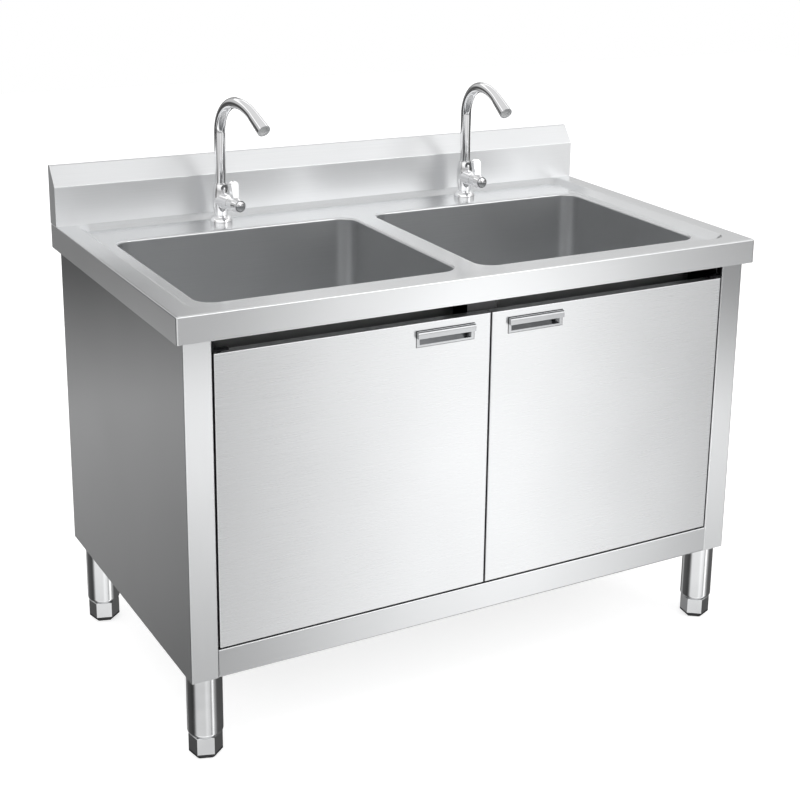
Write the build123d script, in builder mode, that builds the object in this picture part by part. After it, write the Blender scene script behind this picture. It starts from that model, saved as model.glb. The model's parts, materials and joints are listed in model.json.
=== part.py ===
from build123d import *
import os
from math import asin, atan2, cos, degrees, radians, sin

# Free-standing double-bowl stainless sink cabinet with two gooseneck taps, in millimetres.
# X runs to the right, Y to the back and Z up. The origin is on the floor under the middle
# of the top, and the doors face -Y.

os.makedirs("parts", exist_ok=True)

SIDES = (("left", -1), ("right", 1))
TAP_TURN = {"left": 9.0, "right": 0.0}  # how far each tap is turned in its hole

# Pressed top
top_w = 1200.0
top_d = 700.0
rim_h = 830.0  # rim above the floor, with the feet screwed right in
apron_h = 48.0
apron_return = 12.0
top_sheet = 1.5
rim_r = 3.0  # outside radius of the rim's bends
border = 38.0  # flat rim between the apron and the bevel
bevel_run = 16.0
bevel_r = 2.0
tray_depth = 11.0
tray_corner_r = 26.0

# Backsplash, which stands on the back of the border
splash_upright = 78.0
splash_h = 116.0
splash_lip = 9.5
splash_return = 25.0

# Bowls
bowl_w = 500.0
bowl_depth = 250.0
bowl_gap = 50.0
bowl_front = 90.0  # apron to the inside of the bowl's front wall
bowl_back = 152.0  # inside of the bowl's back wall to the back of the top
bowl_corner_r = 35.0
bowl_floor_r = 22.0
bowl_sheet = 1.2
bowl_edge_r = 4.0  # rolled edge between the deck and the wall
bowl_edge_land = 0.5  # flat left outside the rolled edge

# Basket strainer in each bowl's floor
strainer_flange_r = 56.0
strainer_cup_r = 41.0
strainer_wall = 1.5
strainer_cup_h = 34.0
strainer_ledge = 2.5
outlet_r = 23.9  # G 1 1/2 thread
outlet_bore_r = 20.0
outlet_l = 42.0
gasket_h = 3.0
drain_nut_h = 9.0
drain_nut_rim = 9.0
drain_fit = 0.2  # radial gap round the cup
basket_fit = 0.35
basket_sheet = 1.2
basket_h = 24.0
basket_holes = 6
basket_hole_r = 4.0
knob_r = 7.0
knob_stem_r = 3.0
knob_h = 20.0

# Cabinet
overhang_front = 15.0
overhang_side = 15.0
overhang_back = 5.0
cabinet_bottom = 161.0
panel_sheet = 1.2
panel_bend_r = 2.5
stile_w = 50.0
jamb_d = 20.0
back_return = 28.0
rail_h = 53.0  # face of the shelf's front fold
shelf_lip = 12.0
shelf_flange = 30.0
shelf_clearance = 0.5
stiffener_w = 60.0
stiffener_flange = 22.0
stiffener_h = 24.0
stiffener_end = 130.0
top_rail_h = 41.0
top_rail_d = 25.0
back_panel_lap = 20.0  # how far the back panel reaches up behind the apron

# Legs and adjustable feet
leg_r = 31.75
leg_wall = 1.5
leg_inset = 35.0
back_leg_inset = 70.0
leg_shoulder_h = 8.0
leg_shoulder_in = 5.75
leg_end_h = 14.0
socket_plate = 3.0
socket_plate_w = 78.0
socket_plug_h = 35.0
socket_fit = 0.1
foot_gap = 0.8  # foot's hexagon to the leg's end, screwed right in
foot_hex_r = 30.0  # over the corners
foot_hex_h = 32.0
foot_chamfer = 1.2
foot_pad_h = 10.0
foot_pad_chamfer = 6.0
stud_r = 8.0
stud_l = 58.0
stud_fit = 0.06
FOOT_TURN = {"front_left": -20.0, "front_right": -38.0, "back_left": -18.0, "back_right": -30.0}

# Doors
door_t = 20.0
door_gap = 3.0
head_gap = 28.0  # between the apron and the doors
door_edge_r = 1.5
liner_flange = 9.0
liner_fit = 0.2
pivot_in = 11.0  # pivot axis to the door's outer edge
pivot_back = 7.0  # pivot axis to the door's front face
pin_r = 3.5
pin_fit = 0.06
pin_past = 1.5
pivot_block_w = 22.0
pivot_block_h = 14.0
pivot_block_fit = 0.3
collar_r = 5.0
collar_gap = 0.3
bracket_t = 3.0
bracket_w = 30.0
bracket_d = 12.0
bracket_h = 16.0

# Recessed pull in each door
pull_w = 118.0
pull_h = 30.0
pull_t = 0.8
pull_inset = 35.0  # door's free edge to the pull
pull_drop = 14.5  # door's top edge to the pull
cup_side = 5.0
cup_edge = 3.0
cup_depth = 14.0
cup_taper = 28.0
cup_sheet = 1.0
hood_out = 7.5
hood_h = 13.0
hood_sheet = 1.5
hood_r = 5.0

# Double magnetic catch behind the doors' free edges
catch_w = 62.0
catch_h = 14.0
catch_d = 16.0
catch_drop = 3.0
catch_gap = 0.5
catch_plate = 1.5
magnet_w = 22.0
magnet_h = 9.0

# Taps, with heights above the deck and reaches in front of the tap's axis
tap_x = 283.0
tap_ledge = 58.0  # inside of the bowl's back wall to the tap's axis
base_r = 22.5
base_h = 15.0
base_rim = 3.5
base_lip = 1.5
neck_r = 12.5
belly_r = 16.8
belly_h = 42.0
collar_top_r = 13.2
body_h = 83.0
body_bore_d = 22.0
boss_r = 7.5
boss_h = 74.0
boss_out = 14.5
barrel_h = 48.0
barrel_l = 42.0
barrel_root_r = 16.5
barrel_tip_r = 15.0
thread_r = 12.0  # M24 thread for the fixing nut
thread_l = 14.0
thread_clear = 1.5
shank_r = 10.475  # G 1/2 thread for the supply
shank_l = 55.0
spout_r = 11.0
spout_fit = 0.08
arch_start_h = 185.0
arch_r = 68.0
fall_r = 112.0
fall_turn = 32.0
nozzle_l = 44.0
nozzle_step = 0.4
nozzle_tip_r = 13.2
nozzle_bore_d = 12.0
nozzle_wall = 1.8
aerator_wall = 2.0
aerator_l = 8.0
aerator_in = 0.8
aerator_grid = 1.5
cartridge_r = 9.5
cartridge_l = 25.0
spindle_r = 4.0
spindle_l = 18.0
spindle_fit = 0.06
hub_gap = 0.6
hub_r = 15.0
hub_l = 31.7
hub_straight = 18.0
hub_tip_r = 11.6
paddle_top = 48.0
paddle_tip_r = 10.0
paddle_root_r = 7.0
paddle_t = 7.0
paddle_out = 11.0  # hub's back face to the paddle's back face, at the hub's axis
paddle_lean = 12.0
paddle_taper = 14.0
cap_r = 9.5
cap_seat = 2.5
cap_proud = 0.8
cap_dome = 2.0
nut_corner_r = 20.8
nut_h = 8.0
nut_washer_r = 22.0
nut_washer_h = 2.0

# Places that follow from those sizes
front_y = -top_d / 2
back_y = top_d / 2
apron_bottom = rim_h - apron_h
deck_z = rim_h - tray_depth
tray_w = top_w - 2 * border
tray_d = top_d - 2 * border
splash_y = back_y - border
splash_top = rim_h + splash_h
bowl_edge = bowl_edge_r + bowl_edge_land
bowl_d = top_d - bowl_front - bowl_back
bowl_y = front_y + bowl_front + bowl_d / 2
floor_z = deck_z - bowl_depth
cab_w = top_w - 2 * overhang_side
cab_front = front_y + overhang_front
cab_back = back_y - overhang_back
inner_w = cab_w - 2 * panel_sheet
opening_w = cab_w - 2 * stile_w
panel_back = cab_back - panel_sheet  # back face of the back panel
inner_back = panel_back - panel_sheet
shelf_z = cabinet_bottom + rail_h
shelf_under = shelf_z - panel_sheet
leg_top = shelf_under - socket_plate
foot_top = foot_pad_h + foot_hex_h
leg_bottom = foot_top + foot_gap
door_bottom = shelf_z + door_gap
door_top = apron_bottom - head_gap
door_h = door_top - door_bottom
door_w = (opening_w - 3 * door_gap) / 2
door_back = cab_front + door_t
pivot_x = opening_w / 2 - door_gap - pivot_in
pivot_y = cab_front + pivot_back
tap_y = back_y - bowl_back + tap_ledge
barrel_z = deck_z + barrel_h

LEGS = {
    f"{end}_{side}": (sign * (cab_w / 2 - leg_inset), y)
    for side, sign in SIDES
    for end, y in (("front", cab_front + leg_inset), ("back", cab_back - back_leg_inset))
}


def save(piece, name):
    """Label a finished piece and write it as one STEP file."""
    piece.part.label = name
    export_step(piece.part, f"parts/{name}.step")


def folded_sheet(points, thickness, outer_r):
    """Section of a sheet folded along points on its mid line, with rounded bends."""
    with BuildLine(mode=Mode.PRIVATE) as fold:
        FilletPolyline(*points, radius=outer_r - thickness / 2)
    trace(fold.line, line_width=thickness)


def facing_front(x, y, z, turn=0.0):
    """Upright plane that faces the front, or turn degrees to the right of it."""
    a = radians(turn)
    return Plane(origin=(x, y, z), x_dir=(cos(a), sin(a), 0), z_dir=(sin(a), -cos(a), 0))


def seen_from_side(x, y, z, turn=0.0):
    """Upright plane whose local x runs to the front, or turn degrees to the right of it."""
    a = radians(turn)
    return Plane(origin=(x, y, z), x_dir=(sin(a), -cos(a), 0), z_dir=(-cos(a), -sin(a), 0))


def bowl_x(sign):
    return sign * (bowl_gap + bowl_w) / 2


# Pressed top: rim, bevel, recessed deck and apron as one shelled sheet
with BuildPart() as sink_top:
    with BuildSketch(Plane.XY.offset(apron_bottom)):
        RectangleRounded(top_w, top_d, rim_r)
    extrude(amount=apron_h)
    with BuildSketch(Plane.XY.offset(rim_h)):
        RectangleRounded(tray_w, tray_d, tray_corner_r)
    with BuildSketch(Plane.XY.offset(deck_z)):
        RectangleRounded(
            tray_w - 2 * bevel_run, tray_d - 2 * bevel_run, tray_corner_r - bevel_run
        )
    loft(ruled=True, mode=Mode.SUBTRACT)
    rim_face = sink_top.faces().filter_by(Plane.XY).sort_by(Axis.Z)[-1]
    fillet(rim_face.outer_wire().edges(), rim_r)
    rim_face = sink_top.faces().filter_by(Plane.XY).sort_by(Axis.Z)[-1]
    fillet(rim_face.inner_wires()[0].edges(), bevel_r)
    offset(amount=-top_sheet, openings=sink_top.faces().sort_by(Axis.Z)[0])
    # inward lip along the front and side aprons
    with BuildSketch(Plane.XY.offset(apron_bottom)):
        RectangleRounded(top_w, top_d, rim_r)
        with Locations((0, apron_return)):
            Rectangle(top_w - 2 * apron_return, top_d, mode=Mode.SUBTRACT)
        with Locations((0, back_y)):
            Rectangle(top_w - 2 * top_sheet, 2 * apron_return, mode=Mode.SUBTRACT)
    extrude(amount=top_sheet)
    with BuildSketch(Plane.XY.offset(deck_z)):
        with Locations(*[(bowl_x(sign), bowl_y) for side, sign in SIDES]):
            RectangleRounded(
                bowl_w + 2 * bowl_edge, bowl_d + 2 * bowl_edge, bowl_corner_r + bowl_edge
            )
    extrude(amount=-2 * top_sheet, mode=Mode.SUBTRACT)
    with Locations(*[(sign * tap_x, tap_y, deck_z) for side, sign in SIDES]):
        Hole(thread_r + thread_clear, depth=2 * top_sheet)
save(sink_top, "sink_top")

# Backsplash: one sheet folded up, back, over the lip and down, with closed ends
lip_mid_z = splash_top - top_sheet / 2
with BuildPart() as backsplash:
    with BuildSketch(Plane.YZ):
        folded_sheet(
            [
                (splash_y + top_sheet / 2, rim_h),
                (splash_y + top_sheet / 2, rim_h + splash_upright),
                (back_y - splash_lip + top_sheet / 2, lip_mid_z),
                (back_y - top_sheet / 2, lip_mid_z),
                (back_y - top_sheet / 2, splash_top - splash_return),
            ],
            top_sheet,
            rim_r,
        )
    extrude(amount=top_w / 2 - top_sheet, both=True)
    for side, sign in SIDES:
        with BuildSketch(Plane.YZ.offset(sign * (top_w / 2 - top_sheet))):
            with BuildLine():
                Polyline(
                    (splash_y, rim_h),
                    (splash_y, rim_h + splash_upright),
                    (back_y - splash_lip, splash_top),
                    (back_y, splash_top),
                    (back_y, rim_h),
                    close=True,
                )
            make_face()
        extrude(amount=sign * top_sheet)
save(backsplash, "backsplash")

# Bowls, each with its rolled edge flush with the deck
for side, sign in SIDES:
    centre = (bowl_x(sign), bowl_y)
    with BuildPart() as bowl:
        with BuildSketch(Plane.XY.offset(deck_z)):
            with Locations(centre):
                RectangleRounded(
                    bowl_w + 2 * bowl_sheet, bowl_d + 2 * bowl_sheet, bowl_corner_r + bowl_sheet
                )
        extrude(amount=-(bowl_depth + bowl_sheet))
        fillet(bowl.faces().sort_by(Axis.Z)[0].edges(), bowl_floor_r + bowl_sheet)
        offset(amount=-bowl_sheet, openings=bowl.faces().sort_by(Axis.Z)[-1])
        with BuildSketch(Plane.XY.offset(deck_z)):
            with Locations(centre):
                RectangleRounded(
                    bowl_w + 2 * bowl_edge, bowl_d + 2 * bowl_edge, bowl_corner_r + bowl_edge
                )
                RectangleRounded(bowl_w, bowl_d, bowl_corner_r, mode=Mode.SUBTRACT)
        extrude(amount=-(bowl_edge_r + bowl_sheet))
        deck_face = bowl.faces().filter_by(Plane.XY).sort_by(Axis.Z)[-1]
        fillet(deck_face.inner_wires()[0].edges(), bowl_edge_r)
        with Locations((*centre, floor_z)):
            Hole(strainer_cup_r + drain_fit, depth=2 * bowl_sheet)
    save(bowl, f"{side}_bowl")

# Basket strainers: turned cup, lift-out basket, gasket and lock nut
cup_bottom = floor_z - strainer_cup_h
gasket_top = floor_z - bowl_sheet
ledge_z = floor_z - strainer_ledge - basket_sheet
cup_bore_r = strainer_cup_r - strainer_wall
ledge_bore_r = cup_bore_r - strainer_ledge
for side, sign in SIDES:
    x = bowl_x(sign)
    turn_axis = Axis((x, bowl_y, floor_z), (0, 0, 1))
    with BuildPart() as strainer_body:
        with BuildSketch(facing_front(x, bowl_y, 0)):
            with BuildLine():
                Polyline(
                    (outlet_bore_r, cup_bottom - outlet_l),
                    (outlet_r, cup_bottom - outlet_l),
                    (outlet_r, cup_bottom - strainer_wall),
                    (strainer_cup_r - 2 * strainer_wall, cup_bottom - strainer_wall),
                    (strainer_cup_r, cup_bottom + strainer_wall),
                    (strainer_cup_r, floor_z),
                    (strainer_flange_r, floor_z),
                    (strainer_flange_r - strainer_wall, floor_z + strainer_wall),
                    (cup_bore_r + strainer_wall, floor_z + strainer_wall),
                    (cup_bore_r, floor_z),
                    (cup_bore_r, ledge_z),
                    (ledge_bore_r, ledge_z),
                    (ledge_bore_r, cup_bottom),
                    (outlet_bore_r, cup_bottom),
                    close=True,
                )
            make_face()
        revolve(axis=turn_axis)
    save(strainer_body, f"{side}_strainer_body")

    wall_r = ledge_bore_r - basket_fit
    basket_floor = ledge_z - basket_h
    with BuildPart() as basket:
        with BuildSketch(facing_front(x, bowl_y, 0)):
            with BuildLine():
                Polyline(
                    (0, basket_floor),
                    (wall_r, basket_floor),
                    (wall_r, ledge_z),
                    (cup_bore_r - basket_fit, ledge_z),
                    (cup_bore_r - basket_fit, ledge_z + basket_sheet),
                    (wall_r - basket_sheet, ledge_z + basket_sheet),
                    (wall_r - basket_sheet, basket_floor + basket_sheet),
                    (knob_stem_r, basket_floor + basket_sheet),
                    (knob_stem_r, basket_floor + knob_h),
                    (knob_r, basket_floor + knob_h),
                    (knob_r, basket_floor + knob_h + knob_stem_r),
                    (knob_stem_r, basket_floor + knob_h + 2 * knob_stem_r),
                    (0, basket_floor + knob_h + 2 * knob_stem_r),
                    close=True,
                )
            make_face()
        revolve(axis=turn_axis)
        with Locations((x, bowl_y, basket_floor + basket_sheet)):
            with PolarLocations(wall_r / 2, basket_holes):
                Hole(basket_hole_r, depth=2 * basket_sheet)
    save(basket, f"{side}_strainer_basket")

    with BuildPart() as gasket:
        with BuildSketch(Plane.XY.offset(gasket_top)):
            with Locations((x, bowl_y)):
                Circle(strainer_flange_r)
                Circle(strainer_cup_r + drain_fit, mode=Mode.SUBTRACT)
        extrude(amount=-gasket_h)
    save(gasket, f"{side}_drain_gasket")

    with BuildPart() as drain_nut:
        with BuildSketch(Plane.XY.offset(gasket_top - gasket_h)):
            with Locations((x, bowl_y)):
                RegularPolygon(strainer_cup_r + drain_nut_rim, 8)
                Circle(strainer_cup_r + drain_fit, mode=Mode.SUBTRACT)
        extrude(amount=-drain_nut_h)
    save(drain_nut, f"{side}_drain_nut")

# Side panels: skin, front stile, door jamb and back return folded from one sheet
for side, sign in SIDES:
    skin_x = sign * (cab_w - panel_sheet) / 2
    jamb_x = sign * (opening_w + panel_sheet) / 2
    front_mid = cab_front + panel_sheet / 2
    back_mid = cab_back - panel_sheet / 2
    with BuildPart() as side_panel:
        with BuildSketch(Plane.XY.offset(cabinet_bottom)):
            folded_sheet(
                [
                    (jamb_x, cab_front + jamb_d),
                    (jamb_x, front_mid),
                    (skin_x, front_mid),
                    (skin_x, back_mid),
                    (skin_x - sign * back_return, back_mid),
                ],
                panel_sheet,
                panel_bend_r,
            )
        extrude(amount=rim_h - top_sheet - cabinet_bottom)
        # below the shelf the stile ends flat against the rail, and the leg passes behind
        with BuildSketch(Plane.XY.offset(cabinet_bottom)):
            with Locations((jamb_x, cab_front + panel_sheet + jamb_d / 2)):
                Rectangle(4 * panel_bend_r, jamb_d)
        extrude(amount=rail_h, mode=Mode.SUBTRACT)
    save(side_panel, f"{side}_side_panel")

with BuildPart() as back_panel:
    with BuildSketch(Plane.XY.offset(cabinet_bottom)):
        with Locations((0, panel_back - panel_sheet / 2)):
            Rectangle(inner_w - 2 * panel_bend_r, panel_sheet)
    extrude(amount=apron_bottom + back_panel_lap - cabinet_bottom)
save(back_panel, "back_panel")

# Bottom shelf: folded down at the front as the rail, with wings behind the stiles
wing_front = cab_front + jamb_d + shelf_clearance
wing_w = (inner_w - opening_w) / 2
with BuildPart() as bottom_shelf:
    with BuildSketch(Plane.YZ):
        folded_sheet(
            [
                (cab_front + shelf_lip, cabinet_bottom + panel_sheet / 2),
                (cab_front + panel_sheet / 2, cabinet_bottom + panel_sheet / 2),
                (cab_front + panel_sheet / 2, shelf_z - panel_sheet / 2),
                (inner_back - panel_sheet / 2, shelf_z - panel_sheet / 2),
                (inner_back - panel_sheet / 2, shelf_z - shelf_flange),
            ],
            panel_sheet,
            panel_bend_r,
        )
    extrude(amount=opening_w / 2, both=True)
    for side, sign in SIDES:
        with BuildSketch(Plane.XY.offset(shelf_z)):
            with Locations((sign * (opening_w + wing_w) / 2, (wing_front + inner_back) / 2)):
                Rectangle(wing_w, inner_back - wing_front)
        extrude(amount=-panel_sheet)
        with BuildSketch(Plane.XY.offset(shelf_z)):
            flange_x = sign * (inner_w - panel_sheet) / 2
            with Locations((flange_x, (wing_front + inner_back) / 2)):
                Rectangle(panel_sheet, inner_back - wing_front)
        extrude(amount=-shelf_flange)
    # the rail's lip is cut back round the front legs
    with BuildSketch(Plane.XY.offset(cabinet_bottom)):
        with Locations(LEGS["front_left"], LEGS["front_right"]):
            Circle(leg_r + shelf_clearance)
    extrude(amount=2 * panel_bend_r, mode=Mode.SUBTRACT)
    with Locations(*[(sign * pivot_x, pivot_y, shelf_z) for side, sign in SIDES]):
        Hole(collar_r - shelf_clearance, depth=2 * panel_sheet)
save(bottom_shelf, "bottom_shelf")

with BuildPart() as shelf_stiffener:
    with BuildSketch(Plane.YZ):
        foot_mid = shelf_under - panel_sheet / 2
        hat_mid = foot_mid - stiffener_h
        folded_sheet(
            [
                (-stiffener_w / 2 - stiffener_flange, foot_mid),
                (-stiffener_w / 2, foot_mid),
                (-stiffener_w / 2, hat_mid),
                (stiffener_w / 2, hat_mid),
                (stiffener_w / 2, foot_mid),
                (stiffener_w / 2 + stiffener_flange, foot_mid),
            ],
            panel_sheet,
            panel_bend_r,
        )
    extrude(amount=inner_w / 2 - stiffener_end, both=True)
save(shelf_stiffener, "shelf_stiffener")

# Rails under the top: channels that open towards the middle of the cabinet
rails = (
    ("front_top_rail", cab_front + jamb_d + door_gap, 1, deck_z - top_sheet),
    ("back_top_rail", inner_back, -1, rim_h - top_sheet),
)
for name, web_y, inward, rail_top in rails:
    with BuildPart() as top_rail:
        with BuildSketch(Plane.YZ):
            web_mid = web_y + inward * panel_sheet / 2
            folded_sheet(
                [
                    (web_y + inward * top_rail_d, rail_top - panel_sheet / 2),
                    (web_mid, rail_top - panel_sheet / 2),
                    (web_mid, rail_top - top_rail_h + panel_sheet / 2),
                    (web_y + inward * top_rail_d, rail_top - top_rail_h + panel_sheet / 2),
                ],
                panel_sheet,
                panel_bend_r,
            )
        extrude(amount=inner_w / 2, both=True)
    save(top_rail, name)

# Corner plates under the shelf: each carries a leg's plug, the front two a door pivot too
plate_edge_x = inner_w / 2 - panel_sheet - shelf_clearance
plate_edge_y = cab_front + panel_bend_r
with BuildPart() as leg_sockets:
    for name, (x, y) in LEGS.items():
        outward = 1 if x > 0 else -1
        plate_y = plate_edge_y + socket_plate_w / 2
        if name.startswith("back"):
            plate_y = y
        with BuildSketch(Plane.XY.offset(shelf_under)):
            with Locations((outward * (plate_edge_x - socket_plate_w / 2), plate_y)):
                Rectangle(socket_plate_w, socket_plate_w)
            if name.startswith("front"):
                with Locations((outward * pivot_x, pivot_y)):
                    Circle(pin_r + pin_fit, mode=Mode.SUBTRACT)
        extrude(amount=-socket_plate)
        with BuildSketch(Plane.XY.offset(leg_top)):
            with Locations((x, y)):
                Circle(leg_r - leg_wall - socket_fit)
                Circle(leg_r - 3 * leg_wall, mode=Mode.SUBTRACT)
        extrude(amount=-socket_plug_h)
save(leg_sockets, "leg_sockets")

# Legs: tube closed at the foot by a threaded end with a rounded shoulder
for name, (x, y) in LEGS.items():
    turn_axis = Axis((x, y, 0), (0, 0, 1))
    with BuildPart() as leg:
        with BuildSketch(facing_front(x, y, 0)):
            with BuildLine():
                Polyline(
                    (leg_r - leg_shoulder_in, leg_bottom),
                    (stud_r + stud_fit, leg_bottom),
                    (stud_r + stud_fit, leg_bottom + leg_end_h),
                    (leg_r - leg_wall, leg_bottom + leg_end_h),
                    (leg_r - leg_wall, leg_top),
                    (leg_r, leg_top),
                    (leg_r, leg_bottom + leg_shoulder_h),
                )
                TangentArc(
                    (leg_r, leg_bottom + leg_shoulder_h),
                    (leg_r - leg_shoulder_in, leg_bottom),
                    tangent=(0, -1),
                )
            make_face()
        revolve(axis=turn_axis)
    save(leg, f"{name}_leg")

    with BuildPart() as foot:
        with BuildSketch(Plane.XY.offset(foot_pad_h)):
            with Locations((x, y)):
                RegularPolygon(foot_hex_r, 6, rotation=FOOT_TURN[name])
        extrude(amount=foot_hex_h)
        chamfer(foot.faces().sort_by(Axis.Z)[-1].edges(), foot_chamfer)
        with BuildSketch(Plane.XY.offset(foot_top)):
            with Locations((x, y)):
                Circle(stud_r)
        extrude(amount=stud_l)
    save(foot, f"{name}_foot")

    with BuildPart() as foot_pad:
        with BuildSketch():
            with Locations((x, y)):
                RegularPolygon(foot_hex_r, 6, rotation=FOOT_TURN[name])
        extrude(amount=foot_pad_h)
        chamfer(foot_pad.faces().sort_by(Axis.Z)[0].edges(), foot_pad_chamfer)
    save(foot_pad, f"{name}_foot_pad")

# Doors: front skin folded back at its edges, liner, pull and pivot blocks
pull_z = door_top - pull_drop - pull_h / 2
for side, sign in SIDES:
    door_x = sign * (door_gap + door_w) / 2
    pull_x = sign * (door_gap / 2 + pull_inset + pull_w / 2)
    pivot = (sign * pivot_x, pivot_y)
    cup_w = pull_w - 2 * cup_side
    cup_h = pull_h - 2 * cup_edge
    with BuildPart() as door_skin:
        with BuildSketch(Plane.XY.offset(door_bottom)):
            with Locations((door_x, cab_front + door_t / 2)):
                Rectangle(door_w, door_t)
        extrude(amount=door_h)
        fillet(door_skin.faces().sort_by(Axis.Y)[0].edges(), door_edge_r)
        with BuildSketch(Plane.XY.offset(door_bottom + panel_sheet)):
            with Locations((door_x, cab_front + (door_t + panel_sheet) / 2)):
                Rectangle(door_w - 2 * panel_sheet, door_t - panel_sheet)
        extrude(amount=door_h - 2 * panel_sheet, mode=Mode.SUBTRACT)
        with BuildSketch(facing_front(pull_x, cab_front, pull_z)):
            Rectangle(cup_w, cup_h)
        extrude(amount=-2 * panel_sheet, mode=Mode.SUBTRACT)
        with Locations((*pivot, door_top), (*pivot, door_bottom + panel_sheet)):
            Hole(pin_r, depth=panel_sheet)
    save(door_skin, f"{side}_door_skin")

    liner_w = door_w - 2 * (panel_sheet + liner_fit)
    liner_h = door_h - 2 * (panel_sheet + liner_fit)
    with BuildPart() as door_liner:
        with BuildSketch(facing_front(door_x, door_back, (door_bottom + door_top) / 2)):
            Rectangle(liner_w, liner_h)
        extrude(amount=liner_flange)
        with BuildSketch(
            facing_front(door_x, door_back - panel_sheet, (door_bottom + door_top) / 2)
        ):
            Rectangle(liner_w - 2 * panel_sheet, liner_h - 2 * panel_sheet)
        extrude(amount=liner_flange, mode=Mode.SUBTRACT)
    save(door_liner, f"{side}_door_liner")

    with BuildPart() as door_pull:
        # stamped cup behind the door's face
        with BuildSketch(facing_front(pull_x, cab_front, pull_z)):
            Rectangle(cup_w, cup_h)
        extrude(amount=-cup_depth, taper=cup_taper)
        with BuildSketch(facing_front(pull_x, cab_front, pull_z)):
            Rectangle(pull_w, pull_h)
        extrude(amount=pull_t)
        with BuildSketch(facing_front(pull_x, cab_front - pull_t, pull_z)):
            Rectangle(cup_w - 2 * cup_sheet, cup_h - 2 * cup_sheet)
        extrude(amount=-(pull_t + cup_depth - cup_sheet), taper=cup_taper, mode=Mode.SUBTRACT)
        # hood over the cup's upper half, open towards the floor, with a cheek at each end
        pull_top = pull_z + pull_h / 2
        hood_front = cab_front - pull_t - hood_out + hood_sheet / 2
        with BuildSketch(Plane.YZ.offset(pull_x)):
            folded_sheet(
                [
                    (cab_front - pull_t, pull_top - hood_sheet / 2),
                    (hood_front, pull_top - hood_sheet / 2),
                    (hood_front, pull_top - hood_h),
                ],
                hood_sheet,
                hood_r,
            )
        extrude(amount=pull_w / 2, both=True)
        for end in (-1, 1):
            with BuildSketch(Plane.YZ.offset(pull_x + end * pull_w / 2)):
                with BuildLine():
                    Polyline(
                        (cab_front - pull_t, pull_top),
                        (hood_front + hood_r, pull_top),
                        (hood_front, pull_top - hood_r),
                        (hood_front, pull_top - hood_h),
                        (cab_front - pull_t, pull_top - hood_h),
                        close=True,
                    )
                make_face()
            extrude(amount=-end * hood_sheet)
    save(door_pull, f"{side}_door_pull")

    with BuildPart() as door_pivots:
        block_x = sign * (opening_w / 2 - door_gap - panel_sheet - pivot_block_fit)
        block_d = door_t - liner_flange - panel_sheet - 2 * pivot_block_fit
        block_y = cab_front + panel_sheet + pivot_block_fit + block_d / 2
        for block_z in (door_bottom + panel_sheet, door_top - panel_sheet - pivot_block_h):
            with BuildSketch(Plane.XY.offset(block_z)):
                with Locations((block_x - sign * pivot_block_w / 2, block_y)):
                    Rectangle(pivot_block_w, block_d)
            extrude(amount=pivot_block_h)
        with BuildSketch(Plane.XY.offset(door_top - panel_sheet)):
            with Locations(pivot):
                Circle(pin_r)
        extrude(amount=panel_sheet + door_gap + bracket_t + pin_past)
        with BuildSketch(Plane.XY.offset(door_bottom + panel_sheet)):
            with Locations(pivot):
                Circle(pin_r)
        extrude(amount=-(panel_sheet + door_gap + panel_sheet + socket_plate + pin_past))
        with BuildSketch(Plane.XY.offset(door_bottom)):
            with Locations(pivot):
                Circle(collar_r)
        extrude(amount=-(door_gap - collar_gap))
    save(door_pivots, f"{side}_door_pivots")

# Angle brackets on the jambs that hold the doors' upper pins
with BuildPart() as pivot_brackets:
    for side, sign in SIDES:
        plate_z = door_top + door_gap
        with BuildSketch(Plane.XY.offset(plate_z)):
            with Locations((sign * (opening_w - bracket_w) / 2, pivot_y)):
                Rectangle(bracket_w, bracket_d)
            with Locations((sign * pivot_x, pivot_y)):
                Circle(pin_r + pin_fit, mode=Mode.SUBTRACT)
        extrude(amount=bracket_t)
        with BuildSketch(Plane.XY.offset(plate_z + bracket_t)):
            with Locations((sign * (opening_w - bracket_t) / 2, pivot_y)):
                Rectangle(bracket_t, bracket_d)
        extrude(amount=bracket_h)
save(pivot_brackets, "pivot_brackets")

# Magnetic catch: block with two magnets on a plate that hangs from the front rail
catch_front = door_back + catch_gap
catch_top = door_top - catch_drop
rail_under = deck_z - top_sheet - top_rail_h
with BuildPart() as door_catch:
    with BuildSketch(Plane.XY.offset(catch_top)):
        with Locations((0, catch_front + catch_d / 2)):
            Rectangle(catch_w, catch_d)
    extrude(amount=-catch_h)
    with BuildSketch(Plane.XY.offset(catch_top)):
        with Locations((0, catch_front + catch_d - catch_plate / 2)):
            Rectangle(catch_w, catch_plate)
    extrude(amount=rail_under - catch_top)
    for side, sign in SIDES:
        with BuildSketch(facing_front(sign * catch_w / 4, catch_front, catch_top - catch_h / 2)):
            Rectangle(magnet_w, magnet_h)
            Rectangle(magnet_w - catch_plate, magnet_h - catch_plate, mode=Mode.SUBTRACT)
        extrude(amount=-catch_plate, mode=Mode.SUBTRACT)
save(door_catch, "door_catch")

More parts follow.
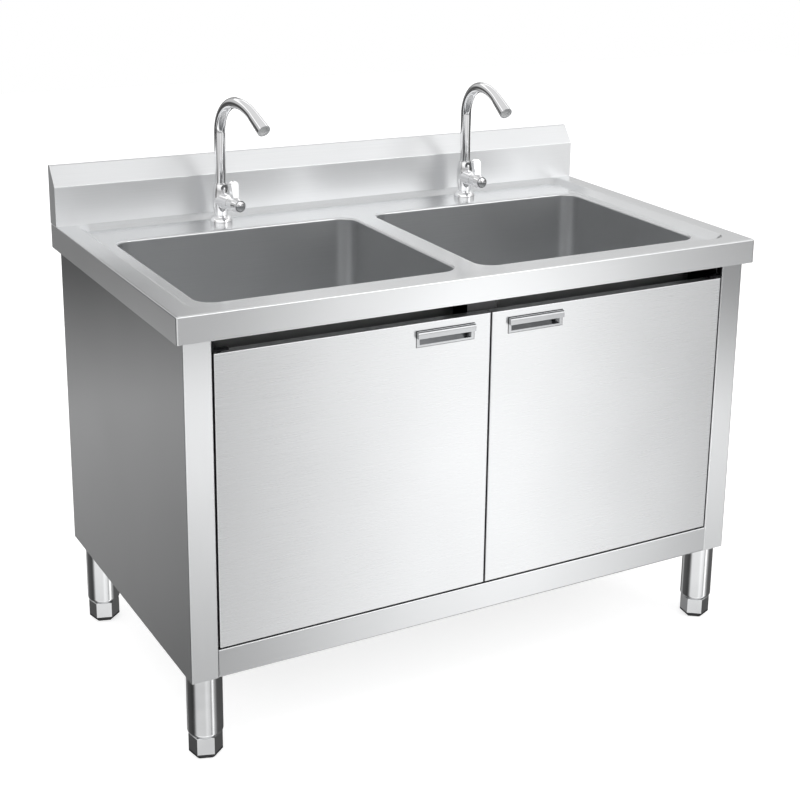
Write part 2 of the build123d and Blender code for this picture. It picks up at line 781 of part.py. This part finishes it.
# Taps
fall = radians(fall_turn)
arch_top_h = arch_start_h + arch_r
nozzle_reach = arch_r + fall_r * sin(fall)
nozzle_h = arch_top_h - fall_r * (1 - cos(fall))
nozzle_root_r = spout_r + nozzle_step
nozzle_taper = degrees(atan2(nozzle_tip_r - nozzle_root_r, nozzle_l))
nozzle_bore_r = nozzle_tip_r - nozzle_wall
for side, sign in SIDES:
    x = sign * tap_x
    turn = TAP_TURN[side]
    tap_front = facing_front(x, tap_y, deck_z, turn)
    valve_front = facing_front(x, tap_y, barrel_z, turn)
    tap_side = seen_from_side(x, tap_y, deck_z, turn)
    valve_side = seen_from_side(x, tap_y, barrel_z, turn)
    tap_axis = Axis((x, tap_y, deck_z), (0, 0, 1))
    valve_axis = Axis((x, tap_y, barrel_z), valve_front.z_dir)

    with BuildPart() as tap_base:
        with BuildSketch(tap_front):
            with BuildLine():
                Polyline(
                    (base_r, base_rim),
                    (base_r, 0),
                    (neck_r, 0),
                    (neck_r, base_h),
                    (neck_r + base_lip, base_h),
                )
                TangentArc((base_r, base_rim), (neck_r + base_lip, base_h), tangent=(0, 1))
            make_face()
        revolve(axis=tap_axis)
    save(tap_base, f"{side}_tap_base")

    with BuildPart() as tap_body:
        with BuildSketch(tap_front):
            with BuildLine():
                Polyline(
                    (collar_top_r, body_h),
                    (0, body_h),
                    (0, -shank_l),
                    (shank_r, -shank_l),
                    (shank_r, -thread_l),
                    (thread_r, -thread_l),
                    (thread_r, 0),
                    (neck_r, 0),
                    (neck_r, base_h),
                )
                ThreePointArc((neck_r, base_h), (belly_r, belly_h), (collar_top_r, boss_h + boss_r))
                Line((collar_top_r, boss_h + boss_r), (collar_top_r, body_h))
            make_face()
        revolve(axis=tap_axis)
        with BuildSketch(valve_front):
            Circle(barrel_root_r)
        extrude(
            amount=barrel_l, taper=degrees(atan2(barrel_root_r - barrel_tip_r, barrel_l))
        )
        with BuildSketch(tap_front):
            with Locations((0, boss_h)):
                Circle(boss_r)
        extrude(amount=boss_out)
        with Locations((x, tap_y, deck_z + body_h)):
            Hole(spout_r + spout_fit, depth=body_bore_d)
        with BuildSketch(valve_front.offset(barrel_l)):
            Circle(cartridge_r)
        extrude(amount=-(cartridge_l + hub_gap), mode=Mode.SUBTRACT)
        with BuildSketch(tap_front.offset(boss_out)):
            with Locations((0, boss_h)):
                Circle(boss_r / 3)
        extrude(amount=-boss_r / 3, mode=Mode.SUBTRACT)
    save(tap_body, f"{side}_tap_body")

    with BuildPart() as tap_cartridge:
        with BuildSketch(valve_front.offset(barrel_l)):
            Circle(cartridge_r)
        extrude(amount=-cartridge_l)
        with BuildSketch(valve_front.offset(barrel_l)):
            Circle(spindle_r + spindle_fit)
        extrude(amount=-(spindle_l + hub_gap), mode=Mode.SUBTRACT)
    save(tap_cartridge, f"{side}_tap_cartridge")

    hub_back = barrel_l + hub_gap
    with BuildPart() as tap_lever:
        with BuildSketch(valve_side):
            with BuildLine():
                Polyline(
                    (barrel_l - spindle_l, 0),
                    (barrel_l - spindle_l, spindle_r),
                    (hub_back, spindle_r),
                    (hub_back, hub_r),
                    (hub_back + hub_straight, hub_r),
                    (hub_back + hub_l - cap_seat, hub_tip_r),
                    (hub_back + hub_l, hub_tip_r),
                    (hub_back + hub_l, cap_r),
                    (hub_back + hub_l - cap_seat, cap_r),
                    (hub_back + hub_l - cap_seat, 0),
                    close=True,
                )
            make_face()
        revolve(axis=valve_axis)
        # the paddle leans back over the barrel
        with BuildSketch(valve_front.offset(hub_back + paddle_out).rotated((-paddle_lean, 0, 0))):
            with Locations((0, paddle_root_r)):
                Circle(paddle_root_r)
            with Locations((0, paddle_top - paddle_tip_r)):
                Circle(paddle_tip_r)
            make_hull()
        extrude(amount=paddle_t, taper=paddle_taper)
    save(tap_lever, f"{side}_tap_lever")

    cap_back = hub_back + hub_l - cap_seat
    cap_rim = hub_back + hub_l + cap_proud
    dome_r = (cap_r**2 + cap_dome**2) / (2 * cap_dome)
    with BuildPart() as tap_cap:
        with BuildSketch(valve_side):
            with BuildLine():
                CenterArc((cap_rim + cap_dome - dome_r, 0), dome_r, 0, degrees(asin(cap_r / dome_r)))
                Polyline((cap_rim, cap_r), (cap_back, cap_r), (cap_back, 0), (cap_rim + cap_dome, 0))
            make_face()
        revolve(axis=valve_axis)
    save(tap_cap, f"{side}_tap_cap")

    spout_foot = body_h - body_bore_d
    nozzle_dir = tap_side.x_dir * cos(fall) - Vector(0, 0, sin(fall))
    nozzle_root = tap_side.from_local_coords((nozzle_reach, nozzle_h, 0))
    nozzle_end = Plane(nozzle_root + nozzle_dir * nozzle_l, z_dir=nozzle_dir)
    with BuildPart() as tap_spout:
        with BuildLine(tap_side):
            Line((0, spout_foot), (0, arch_start_h))
            CenterArc((arch_r, arch_start_h), arch_r, 180, -90)
            CenterArc((arch_r, arch_top_h - fall_r), fall_r, 90, -fall_turn)
        with BuildSketch(Plane((x, tap_y, deck_z + spout_foot))):
            Circle(spout_r)
        sweep()
        with BuildSketch(Plane(nozzle_root, z_dir=nozzle_dir)):
            Circle(nozzle_root_r)
        extrude(amount=nozzle_l, taper=-nozzle_taper)
        with BuildSketch(nozzle_end):
            Circle(nozzle_bore_r)
        extrude(amount=-nozzle_bore_d, mode=Mode.SUBTRACT)
    save(tap_spout, f"{side}_tap_spout")

    with BuildPart() as tap_aerator:
        with BuildSketch(nozzle_end.offset(-aerator_in)):
            Circle(nozzle_bore_r)
            Circle(nozzle_bore_r - aerator_wall, mode=Mode.SUBTRACT)
        extrude(amount=-aerator_l)
        with BuildSketch(nozzle_end.offset(-aerator_in - aerator_l / 2)):
            Circle(nozzle_bore_r - aerator_wall)
        extrude(amount=-aerator_grid)
    save(tap_aerator, f"{side}_tap_aerator")

    nut_top = deck_z - top_sheet
    with BuildPart() as tap_nut:
        with BuildSketch(Plane.XY.offset(nut_top)):
            with Locations((x, tap_y)):
                Circle(nut_washer_r)
                Circle(thread_r, mode=Mode.SUBTRACT)
        extrude(amount=-nut_washer_h)
        with BuildSketch(Plane.XY.offset(nut_top - nut_washer_h)):
            with Locations((x, tap_y)):
                RegularPolygon(nut_corner_r, 6)
                Circle(thread_r, mode=Mode.SUBTRACT)
        extrude(amount=-nut_h)
    save(tap_nut, f"{side}_tap_nut")
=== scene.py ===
"""Studio scene for a free-standing double-bowl stainless sink cabinet with two gooseneck taps.

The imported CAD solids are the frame. This script finishes them with materials, adds the small
parts that the solids leave out, and sets up the camera, the floor and the light. Units are
metres: X runs to the right, Y to the back and Z up, and the doors face -Y.
"""

import json
import math

import bmesh
import bpy
from mathutils import Matrix, Vector


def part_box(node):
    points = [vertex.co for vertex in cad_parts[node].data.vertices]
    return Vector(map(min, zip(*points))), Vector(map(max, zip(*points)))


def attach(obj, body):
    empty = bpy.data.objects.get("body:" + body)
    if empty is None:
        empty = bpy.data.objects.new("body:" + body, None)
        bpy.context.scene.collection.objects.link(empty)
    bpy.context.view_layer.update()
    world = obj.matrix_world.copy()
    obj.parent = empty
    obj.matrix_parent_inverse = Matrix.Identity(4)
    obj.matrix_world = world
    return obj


MM = 0.001

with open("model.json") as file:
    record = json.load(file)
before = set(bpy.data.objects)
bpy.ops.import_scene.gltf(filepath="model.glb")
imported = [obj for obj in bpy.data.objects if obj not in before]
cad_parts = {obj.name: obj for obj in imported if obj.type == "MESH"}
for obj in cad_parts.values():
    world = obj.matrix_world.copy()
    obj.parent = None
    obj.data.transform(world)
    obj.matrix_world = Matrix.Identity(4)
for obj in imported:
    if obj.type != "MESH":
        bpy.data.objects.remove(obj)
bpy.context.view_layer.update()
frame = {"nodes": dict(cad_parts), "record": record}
scene = bpy.context.scene
scene.view_settings.view_transform = "Standard"

# Camera, as the photograph was taken
PHOTO_PX = 800.0
FOCAL_PX = 1557.8
CENTRE_PX = (508.4, 280.3)  # where the lens axis meets the photograph
CAMERA_AT = Vector((-1.4147, -2.6390, 1.5759))
YAW, PITCH, ROLL = (math.radians(angle) for angle in (32.15, -15.71, 1.77))
SENSOR_MM = 36.0


def photo_camera():
    """Camera at the photograph's standpoint, aimed by yaw, pitch and roll."""
    forward = Vector(
        (
            math.sin(YAW) * math.cos(PITCH),
            math.cos(YAW) * math.cos(PITCH),
            math.sin(PITCH),
        )
    )
    level_right = Vector((math.cos(YAW), -math.sin(YAW), 0.0))
    level_up = level_right.cross(forward)
    right = math.cos(ROLL) * level_right + math.sin(ROLL) * level_up
    up = -math.sin(ROLL) * level_right + math.cos(ROLL) * level_up
    lens = bpy.data.cameras.new("photo_camera")
    lens.sensor_width = SENSOR_MM
    lens.lens = FOCAL_PX / PHOTO_PX * SENSOR_MM
    lens.shift_x = 0.5 - CENTRE_PX[0] / PHOTO_PX
    lens.shift_y = CENTRE_PX[1] / PHOTO_PX - 0.5
    camera = bpy.data.objects.new("photo_camera", lens)
    scene.collection.objects.link(camera)
    turn = Matrix((right, up, -forward)).transposed()
    camera.matrix_world = Matrix.Translation(CAMERA_AT) @ turn.to_4x4()
    scene.camera = camera


# Material tools
NOISE_LOW, NOISE_HIGH = 0.3, 0.7  # most of a noise texture's values lie between these
PRODUCT_LOW, PRODUCT_HIGH = 0.12, 0.40  # and most products of two of them between these


def linear(code):
    """An sRGB hex colour such as "#c8c9cb" as linear RGBA."""
    values = []
    for start in (1, 3, 5):
        part = int(code[start : start + 2], 16) / 255.0
        values.append(part / 12.92 if part <= 0.04045 else ((part + 0.055) / 1.055) ** 2.4)
    return (*values, 1.0)


def node(tree, kind, inputs=None, stops=(), **settings):
    """Adds one node. Each input takes a plain value or the socket that feeds it.

    stops are a colour ramp's own (place, grey level) pairs, in order.
    """
    made = tree.nodes.new(kind)
    for index, (place, level) in enumerate(stops):
        ends = made.color_ramp.elements
        stop = ends[index] if index < len(ends) else ends.new(place)
        stop.position = place
        stop.color = (level, level, level, 1.0)
    for name, value in settings.items():
        setattr(made, name, value)
    for name, value in (inputs or {}).items():
        if isinstance(value, bpy.types.NodeSocket):
            tree.links.new(value, made.inputs[name])
        else:
            made.inputs[name].default_value = value
    return made


def surface(name, metallic, roughness, fixed=None):
    """A material with one Principled shader, and the tree and shader to build on."""
    material = bpy.data.materials.new(name)
    material.use_nodes = True
    tree = material.node_tree
    shader = tree.nodes["Principled BSDF"]
    shader.inputs["Metallic"].default_value = metallic
    shader.inputs["Roughness"].default_value = roughness
    for socket, value in (fixed or {}).items():
        shader.inputs[socket].default_value = value
    return material, tree, shader


def worked_skin(tree, shader, tones, shade, marks, bump, gloss=None):
    """Colour, relief and gloss that the making of a surface leaves on it.

    tones are two close hex colours, and shade mixes them. marks is the noise that the relief
    and the gloss follow. bump is its (strength, depth). gloss is (roughness, share that it
    varies by), or None where the roughness is even.
    """
    mix = node(tree, "ShaderNodeMix", {"Factor": shade}, data_type="RGBA")
    mix.inputs["A"].default_value, mix.inputs["B"].default_value = map(linear, tones)
    colour = next(output for output in mix.outputs if output.type == "RGBA")
    tree.links.new(colour, shader.inputs["Base Color"])
    relief = node(
        tree,
        "ShaderNodeBump",
        {"Height": marks, "Strength": bump[0], "Distance": bump[1]},
    )
    tree.links.new(relief.outputs["Normal"], shader.inputs["Normal"])
    if gloss:
        roughness, share = gloss
        varied = node(
            tree,
            "ShaderNodeMapRange",
            {
                "Value": marks,
                "From Min": NOISE_LOW,
                "From Max": NOISE_HIGH,
                "To Min": roughness * (1 - share),
                "To Max": roughness * (1 + share),
            },
        )
        tree.links.new(varied.outputs["Result"], shader.inputs["Roughness"])


def brushed_stainless(name, low, high, roughness, grain, stretch):
    """304 stainless sheet with a belt-ground finish.

    The belt leaves short parallel scratches, which smear reflections across the grain and
    vary the gloss a little from streak to streak. The real scratches are about 0.1 mm wide,
    too fine to show here, so they are drawn 1 mm wide. grain is the way the sheet was
    ground. It leans a little off the axis, so that faces square to that axis, such as the
    ends of a folded apron, are ground level too.
    """
    scratch_w, scratch_l = 1.0 * MM, 160 * MM
    scratch_depth = 0.02 * MM
    handling_w = 240 * MM  # width of the faint patches left by handling
    material, tree, shader = surface(name, 1.0, roughness, {"Anisotropic": stretch})
    place = node(tree, "ShaderNodeTexCoord")
    scale = [1 / (scratch_l if abs(along) > 0.5 else scratch_w) for along in grain]
    streak_at = node(
        tree,
        "ShaderNodeMapping",
        {"Vector": place.outputs["Object"], "Scale": scale},
    )
    streaks = node(
        tree,
        "ShaderNodeTexNoise",
        {"Vector": streak_at.outputs["Vector"], "Scale": 1.0, "Detail": 3.0, "Roughness": 0.6},
    )
    handling = node(
        tree,
        "ShaderNodeTexNoise",
        {"Vector": place.outputs["Object"], "Scale": 1 / handling_w, "Detail": 2.0},
    )
    both = node(
        tree,
        "ShaderNodeMath",
        {0: streaks.outputs["Fac"], 1: handling.outputs["Fac"]},
        operation="MULTIPLY",
    )
    shade = node(
        tree,
        "ShaderNodeMapRange",
        {"Value": both.outputs["Value"], "From Min": PRODUCT_LOW, "From Max": PRODUCT_HIGH},
    )
    worked_skin(
        tree,
        shader,
        (low, high),
        shade.outputs["Result"],
        streaks.outputs["Fac"],
        (0.03, scratch_depth),
        (roughness, 0.05),
    )
    facing = node(tree, "ShaderNodeNewGeometry")
    across = node(
        tree,
        "ShaderNodeVectorMath",
        {0: facing.outputs["Normal"], 1: grain},
        operation="CROSS_PRODUCT",
    )
    tree.links.new(across.outputs["Vector"], shader.inputs["Tangent"])
    return material


def polished_steel(name, low, high, roughness, wave):
    """Smooth metal: clear reflections, with the faint ripples that buffing or turning leaves."""
    material, tree, shader = surface(name, 1.0, roughness)
    place = node(tree, "ShaderNodeTexCoord")
    ripple = node(
        tree,
        "ShaderNodeTexNoise",
        {"Vector": place.outputs["Object"], "Scale": 1 / wave, "Detail": 2.0},
    ).outputs["Fac"]
    ripple_depth = 0.3 * MM
    worked_skin(
        tree, shader, (low, high), ripple, ripple, (0.08, ripple_depth), (roughness, 0.2)
    )
    return material


def moulded(name, low, high, roughness, grit, depth):
    """Moulded plastic or rubber: a fine even grain from the tool's spark-eroded skin."""
    material, tree, shader = surface(name, 0.0, roughness, {"IOR": 1.5})
    place = node(tree, "ShaderNodeTexCoord")
    grain = node(
        tree,
        "ShaderNodeTexNoise",
        {"Vector": place.outputs["Object"], "Scale": 1 / grit, "Detail": 4.0},
    ).outputs["Fac"]
    worked_skin(tree, shader, (low, high), grain, grain, (0.4, depth))
    return material


# Ways that a sheet is ground
ALONG_X = (1.0, 0.02, 0.0)
ALONG_Z = (0.02, 0.02, 1.0)

top_steel = brushed_stainless("brushed_stainless_top", "#d9dadb", "#dfe0e1", 0.22, ALONG_X, 0.7)
bowl_steel = brushed_stainless("satin_stainless_bowl", "#d0d1d2", "#d8d9da", 0.30, ALONG_X, 0.3)
door_steel = brushed_stainless("brushed_stainless_door", "#dadbdc", "#e0e1e2", 0.28, ALONG_X, 0.8)
rail_steel = brushed_stainless("brushed_stainless_rail", "#c9cacb", "#cfd0d1", 0.22, ALONG_X, 0.7)
side_steel = brushed_stainless("brushed_stainless_side", "#d3d4d5", "#dadbdc", 0.22, ALONG_Z, 0.95)
splash_steel = brushed_stainless("satin_stainless_splash", "#dfe0e1", "#e5e6e7", 0.40, ALONG_X, 0.6)
# Its tones are raised above plain polished steel, to keep the legs and feet bright under the dimmer
# left wall: painted light
leg_steel = polished_steel("polished_stainless_tube_with_painted_light", "#dcddde", "#ecedee", 0.14, 60 * MM)
# Its tones are darker than the other steels: painted shade for the pull's recess, laid over the
# whole pull
pull_steel = polished_steel("bright_stainless_pull_painted_shade", "#a4a5a7", "#b6b7b8", 0.14, 20 * MM)
drain_steel = polished_steel("polished_stainless_strainer", "#cbcccd", "#dedfdf", 0.16, 15 * MM)
zinc_steel = polished_steel("zinc_plated_steel", "#9fa2a5", "#b3b5b8", 0.38, 8 * MM)
# Its tones are raised above plain chrome, to keep the taps bright under the dimmer walls: painted
# light
tap_chrome = polished_steel("chrome_plated_brass_with_painted_light", "#e8e8e9", "#f2f2f3", 0.05, 25 * MM)
bare_brass = polished_steel("turned_brass", "#b39350", "#c7a866", 0.30, 6 * MM)
# Black: partly a real black oxide finish, partly painted shade, so the parts in the gap above the
# doors read as that gap's shade
black_steel = polished_steel("black_oxide_steel_and_painted_shade", "#1e1e20", "#29292b", 0.42, 8 * MM)
black_pad = moulded("black_nylon_pad", "#141415", "#1d1d1f", 0.46, 0.7 * MM, 0.06 * MM)
black_seal = moulded("black_rubber_seal", "#101011", "#19191a", 0.62, 0.9 * MM, 0.08 * MM)
# Dark grey: partly the catch's own plastic, partly painted shade, set near the tone of the shaded
# gap above the doors where it sits
grey_catch = moulded("grey_abs_catch_and_painted_shade", "#626264", "#6c6c6e", 0.42, 0.8 * MM, 0.05 * MM)
white_nut = moulded("white_polypropylene_nut", "#d3d3cf", "#dededa", 0.45, 0.8 * MM, 0.05 * MM)
white_insert = moulded("white_acetal_aerator", "#cfd0d0", "#dcdddd", 0.40, 0.6 * MM, 0.04 * MM)

SLOT_FINISH = {
    "top_steel": top_steel,
    "bowl_steel": bowl_steel,
    "panel_steel": rail_steel,
    "door_steel": door_steel,
    "pull_steel": pull_steel,
    "zinc_steel": zinc_steel,
    "black_steel": black_steel,
    "catch_plastic": grey_catch,
    "strainer_steel": drain_steel,
    "rubber": black_seal,
    "drain_plastic": white_nut,
    "leg_steel": leg_steel,
    "foot_steel": leg_steel,
    "pad_plastic": black_pad,
    "tap_chrome": tap_chrome,
    "brass": bare_brass,
    "aerator_plastic": white_insert,
}
NODE_FINISH = {
    "left_side_panel": side_steel,
    "right_side_panel": side_steel,
    "backsplash": splash_steel,
}


def finish_solids():
    """Gives every CAD solid its material, by its own name or else by its record slot."""
    for part in frame["record"]["subparts"]:
        name = part["node"]
        material = NODE_FINISH.get(name, SLOT_FINISH[part["material_slot"]])
        mesh = frame["nodes"][name].data
        mesh.materials.clear()
        mesh.materials.append(material)


# Small parts that the solids leave out


def add_piece(name, form, material, body):
    """Makes an object of a finished bmesh and lets it move with a body."""
    mesh = bpy.data.meshes.new(name)
    form.to_mesh(mesh)
    form.free()
    mesh.materials.append(material)
    piece = bpy.data.objects.new(name, mesh)
    scene.collection.objects.link(piece)
    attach(piece, body)


def thread_ridge(name, axis_at, radius, low, high, pitch, material):
    """One helical ridge round an upright thread, fading out at both ends."""
    around = 40  # points per turn
    sunk = 0.1 * MM  # its foot lies this far inside the solid
    depth = 0.16 * pitch  # a quarter as deep as the real thread
    half = 0.42 * pitch  # half the width of its foot
    steps = round((high - low - 2 * half) / pitch * around)
    form = bmesh.new()
    rows = []
    for step in range(steps + 1):
        angle = 2 * math.pi * step / around
        z = low + half + pitch * step / around
        fade = min(1.0, step / around, (steps - step) / around)
        row = []
        for out, rise in ((-sunk, -half), (depth * fade, 0.0), (-sunk, half)):
            r = radius + out
            at = (axis_at[0] + r * math.cos(angle), axis_at[1] + r * math.sin(angle), z + rise)
            row.append(form.verts.new(at))
        rows.append(row)
    for now, after in zip(rows, rows[1:]):
        for a, b in ((0, 1), (1, 2), (2, 0)):
            form.faces.new((now[a], after[a], after[b], now[b]))
    form.faces.new(rows[0])
    form.faces.new(reversed(rows[-1]))
    bmesh.ops.recalc_face_normals(form, faces=form.faces)
    add_piece(name, form, material, "cabinet")


def pull_shadow_ring(side):
    """Thin black rubber ring round a door pull's flange, rounded on its outside. Its black is
    painted shadow: it draws the shade of the gap round the pull as a dark outline.
    """
    low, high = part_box(f"{side}_door_pull")
    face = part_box(f"{side}_door_skin")[0][1]
    shown = 1.0 * MM
    proud = 0.5 * MM
    # Corners of its section, outwards and upwards, as shares of shown and proud
    section = ((-0.3, 0.0), (-0.3, 1.0), (0.5, 1.0), (0.9, 0.6), (1.0, 0.0))
    form = bmesh.new()
    loops = []
    for out, up in section:
        x0, x1 = low[0] - out * shown, high[0] + out * shown
        z0, z1 = low[2] - out * shown, high[2] + out * shown
        y = face - up * proud
        corners = ((x0, y, z0), (x1, y, z0), (x1, y, z1), (x0, y, z1))
        loops.append([form.verts.new(corner) for corner in corners])
    for here, there in zip(loops, loops[1:] + loops[:1]):
        for index in range(4):
            after = (index + 1) % 4
            form.faces.new((here[index], here[after], there[after], there[index]))
    bmesh.ops.recalc_face_normals(form, faces=form.faces)
    # black ring: painted shadow of the gap round the pull
    add_piece(f"{side}_pull_shadow_ring", form, black_seal, f"{side}_door")


def back_rivets():
    """Domed rivet heads down both edges of the back panel."""
    low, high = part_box("back_panel")
    head_r, head_h = 3.2 * MM, 1.1 * MM
    in_from_edge = 12 * MM
    rows, around, rings = 5, 20, 4
    form = bmesh.new()
    for x in (low[0] + in_from_edge, high[0] - in_from_edge):
        for row in range(rows):
            z = low[2] + (row + 0.5) / rows * (high[2] - low[2])
            crown = form.verts.new((x, high[1] + head_h, z))
            loops = []
            for ring in range(1, rings + 1):
                turn = math.pi / 2 * ring / rings
                r, y = head_r * math.sin(turn), high[1] + head_h * math.cos(turn)
                loop = []
                for step in range(around):
                    angle = 2 * math.pi * step / around
                    at = (x + r * math.cos(angle), y, z + r * math.sin(angle))
                    loop.append(form.verts.new(at))
                loops.append(loop)
            for step in range(around):
                after = (step + 1) % around
                form.faces.new((crown, loops[0][after], loops[0][step]))
                for inner, outer in zip(loops, loops[1:]):
                    form.faces.new((inner[step], inner[after], outer[after], outer[step]))
            form.faces.new(reversed(loops[-1]))
    bmesh.ops.recalc_face_normals(form, faces=form.faces)
    for face in form.faces:
        face.smooth = len(face.verts) < around
    add_piece("back_rivets", form, zinc_steel, "cabinet")


def small_parts():
    """Threads, rivets, and black rings of painted shadow round the pulls, placed from the solids
    that carry them.
    """
    waste_r, waste_pitch = 23.9 * MM, 2.309 * MM  # G 1 1/2
    supply_r, supply_pitch = 10.475 * MM, 1.814 * MM  # G 1/2
    waste_l, supply_l = 26 * MM, 38 * MM
    for side in ("left", "right"):
        low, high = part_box(f"{side}_strainer_body")
        middle = ((low[0] + high[0]) / 2, (low[1] + high[1]) / 2)
        top = low[2] + waste_l
        name = f"{side}_waste_thread"
        thread_ridge(name, middle, waste_r, low[2], top, waste_pitch, drain_steel)
        low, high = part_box(f"{side}_tap_nut")
        middle = ((low[0] + high[0]) / 2, (low[1] + high[1]) / 2)
        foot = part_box(f"{side}_tap_body")[0][2]
        name = f"{side}_supply_thread"
        thread_ridge(name, middle, supply_r, foot, foot + supply_l, supply_pitch, bare_brass)
        pull_shadow_ring(side)
    back_rivets()


# Studio


def stage_plane(name, size, place, material):
    """A flat rectangle that is part of the studio, centred on the origin of place."""
    mesh = bpy.data.meshes.new(name)
    x, y = size[0] / 2, size[1] / 2
    corners = [(-x, -y, 0), (x, -y, 0), (x, y, 0), (-x, y, 0)]
    mesh.from_pydata(corners, [], [(0, 1, 2, 3)])
    mesh.materials.append(material)
    plane = bpy.data.objects.new(name, mesh)
    plane.matrix_world = place
    scene.collection.objects.link(plane)
    return plane


def white_floor():
    """Matt white floor that shows as the white ground, and keeps a light shadow."""
    floor_w = 14.0
    own_light = 0.72  # added to the light that falls on it
    material = bpy.data.materials.new("matt_white_floor")
    material.use_nodes = True
    tree = material.node_tree
    tree.nodes.clear()
    paint = node(tree, "ShaderNodeBsdfDiffuse", {"Color": linear("#c8c8c8")})
    lift = node(tree, "ShaderNodeEmission", {"Color": linear("#ffffff"), "Strength": own_light})
    shown = node(tree, "ShaderNodeAddShader")
    tree.links.new(paint.outputs["BSDF"], shown.inputs[0])
    tree.links.new(lift.outputs["Emission"], shown.inputs[1])
    ray = node(tree, "ShaderNodeLightPath")
    seen = node(
        tree,
        "ShaderNodeMath",
        {0: ray.outputs["Is Camera Ray"], 1: ray.outputs["Is Glossy Ray"]},
        operation="MAXIMUM",
    )
    mix = node(tree, "ShaderNodeMixShader", {"Fac": seen.outputs["Value"]})
    tree.links.new(paint.outputs["BSDF"], mix.inputs[1])
    tree.links.new(shown.outputs["Shader"], mix.inputs[2])
    out = node(tree, "ShaderNodeOutputMaterial")
    tree.links.new(mix.outputs["Shader"], out.inputs["Surface"])
    floor = stage_plane("floor", (floor_w, floor_w), Matrix.Identity(4), material)
    floor.visible_glossy = False


# Lighting plan: how bright the studio is as seen from the part, where level 1 is white.
# AROUND_LOW goes by direction below the horizon and AROUND_HIGH above it, in degrees from +X
# towards +Y. HEIGHT goes by degrees above the horizon, and multiplies them
PEAK = 4.0  # the ramps hold levels as shares of this
AROUND_LOW = (
    (-180, 0.3),
    (-165, 1.6),  # left wall, white
    (-110, 1.6),
    (-100, 2.0),
    (-78, 1.6),
    (-69, 0.7),  # gap beside the strip light
    (-58, 3.4),  # strip light in front of the doors
    (-50, 1.1),
    (-28, 0.2),  # right wall, black
    (88, 0.2),
    (104, 0.9),  # grey card behind the part, mirrored in its left side
    (120, 0.2),
    (170, 0.1),
    (180, 0.3),
)
AROUND_HIGH = (
    (-180, 0.5),
    (-160, 1.2),  # left wall, white
    (-100, 1.2),
    (-78, 0.7),
    (-58, 2.5),  # upper end of the strip light
    (-46, 1.0),
    (20, 0.6),  # right and back walls, grey
    (66, 0.8),
    (74, 0.1),  # black card behind the part, mirrored in the left end of its rim
    (90, 0.4),
    (110, 0.6),
    (180, 0.5),
)
HEIGHT = (
    (-90, 0.5),
    (-45, 0.7),  # pale ground
    (-30, 0.4),
    (-20, 0.9),  # foot of the walls, lit
    (-15, 0.2),  # dark skirting
    (-10, 0.5),
    (3, 0.35),
    (9, 1.0),  # walls
    (28, 1.1),
    (35, 2.1),  # ceiling light
    (47, 0.8),  # ceiling
    (90, 0.8),
)
HIGH_FROM, HIGH_TO = -2, 6  # where the low ring gives way to the high one
EVEN_FROM, EVEN_TO = 30, 50  # above this the walls are equally bright all round


def studio_walls():
    """World: plain white to the camera, and soft bright and dim walls in the metal."""
    world = bpy.data.worlds.new("studio_walls")
    world.use_nodes = True
    scene.world = world
    tree = world.node_tree
    tree.nodes.clear()
    way = node(tree, "ShaderNodeTexCoord").outputs["Generated"]
    turn = node(tree, "ShaderNodeTexGradient", {"Vector": way}, gradient_type="RADIAL")
    low, high = (
        node(
            tree,
            "ShaderNodeValToRGB",
            {"Fac": turn.outputs["Fac"]},
            stops=[(angle / 360 + 0.5, level / PEAK) for angle, level in around],
        )
        for around in (AROUND_LOW, AROUND_HIGH)
    )
    rise = node(tree, "ShaderNodeSeparateXYZ", {"Vector": way}).outputs["Z"]
    share = node(tree, "ShaderNodeMapRange", {"Value": rise, "From Min": -1.0})
    height = node(
        tree,
        "ShaderNodeValToRGB",
        {"Fac": share.outputs["Result"]},
        stops=[(math.sin(math.radians(angle)) / 2 + 0.5, level / PEAK) for angle, level in HEIGHT],
    )
    ring = node(
        tree,
        "ShaderNodeMapRange",
        {
            "Value": rise,
            "From Min": math.sin(math.radians(HIGH_FROM)),
            "From Max": math.sin(math.radians(HIGH_TO)),
            "To Min": low.outputs["Color"],
            "To Max": high.outputs["Color"],
        },
    )
    side = node(
        tree,
        "ShaderNodeMapRange",
        {
            "Value": rise,
            "From Min": math.sin(math.radians(EVEN_FROM)),
            "From Max": math.sin(math.radians(EVEN_TO)),
            "To Min": ring.outputs["Result"],
            "To Max": 1.0 / PEAK,
        },
    )
    walls = node(
        tree,
        "ShaderNodeMath",
        {0: side.outputs["Result"], 1: height.outputs["Color"]},
        operation="MULTIPLY",
    )
    lit = node(tree, "ShaderNodeMath", {0: walls.outputs["Value"], 1: PEAK**2}, operation="MULTIPLY")
    ray = node(tree, "ShaderNodeLightPath")
    shown = node(
        tree,
        "ShaderNodeMapRange",
        {"Value": ray.outputs["Is Camera Ray"], "To Min": lit.outputs["Value"], "To Max": 1.0},
    )
    back = node(
        tree,
        "ShaderNodeBackground",
        {"Color": linear("#ffffff"), "Strength": shown.outputs["Result"]},
    )
    out = node(tree, "ShaderNodeOutputWorld")
    tree.links.new(back.outputs["Background"], out.inputs["Surface"])


def aimed(at, target):
    """Matrix at a point, with its -Z turned to a target."""
    turn = (Vector(target) - Vector(at)).to_track_quat("-Z", "Y")
    return Matrix.Translation(at) @ turn.to_matrix().to_4x4()


def softbox(name, at, target, size, watts):
    """Soft lamp that lights the floor and the matt parts, and isn't mirrored in the metal."""
    light = bpy.data.lights.new(name, "AREA")
    light.shape = "RECTANGLE"
    light.size, light.size_y = size
    light.energy = watts
    lamp = bpy.data.objects.new(name, light)
    lamp.matrix_world = aimed(at, target)
    lamp.visible_glossy = False
    scene.collection.objects.link(lamp)


photo_camera()
finish_solids()
small_parts()
white_floor()
studio_walls()
softbox("top_softbox", at=(-0.3, -0.8, 3.2), target=(0.0, 0.0, 0.8), size=(2.6, 2.0), watts=10)
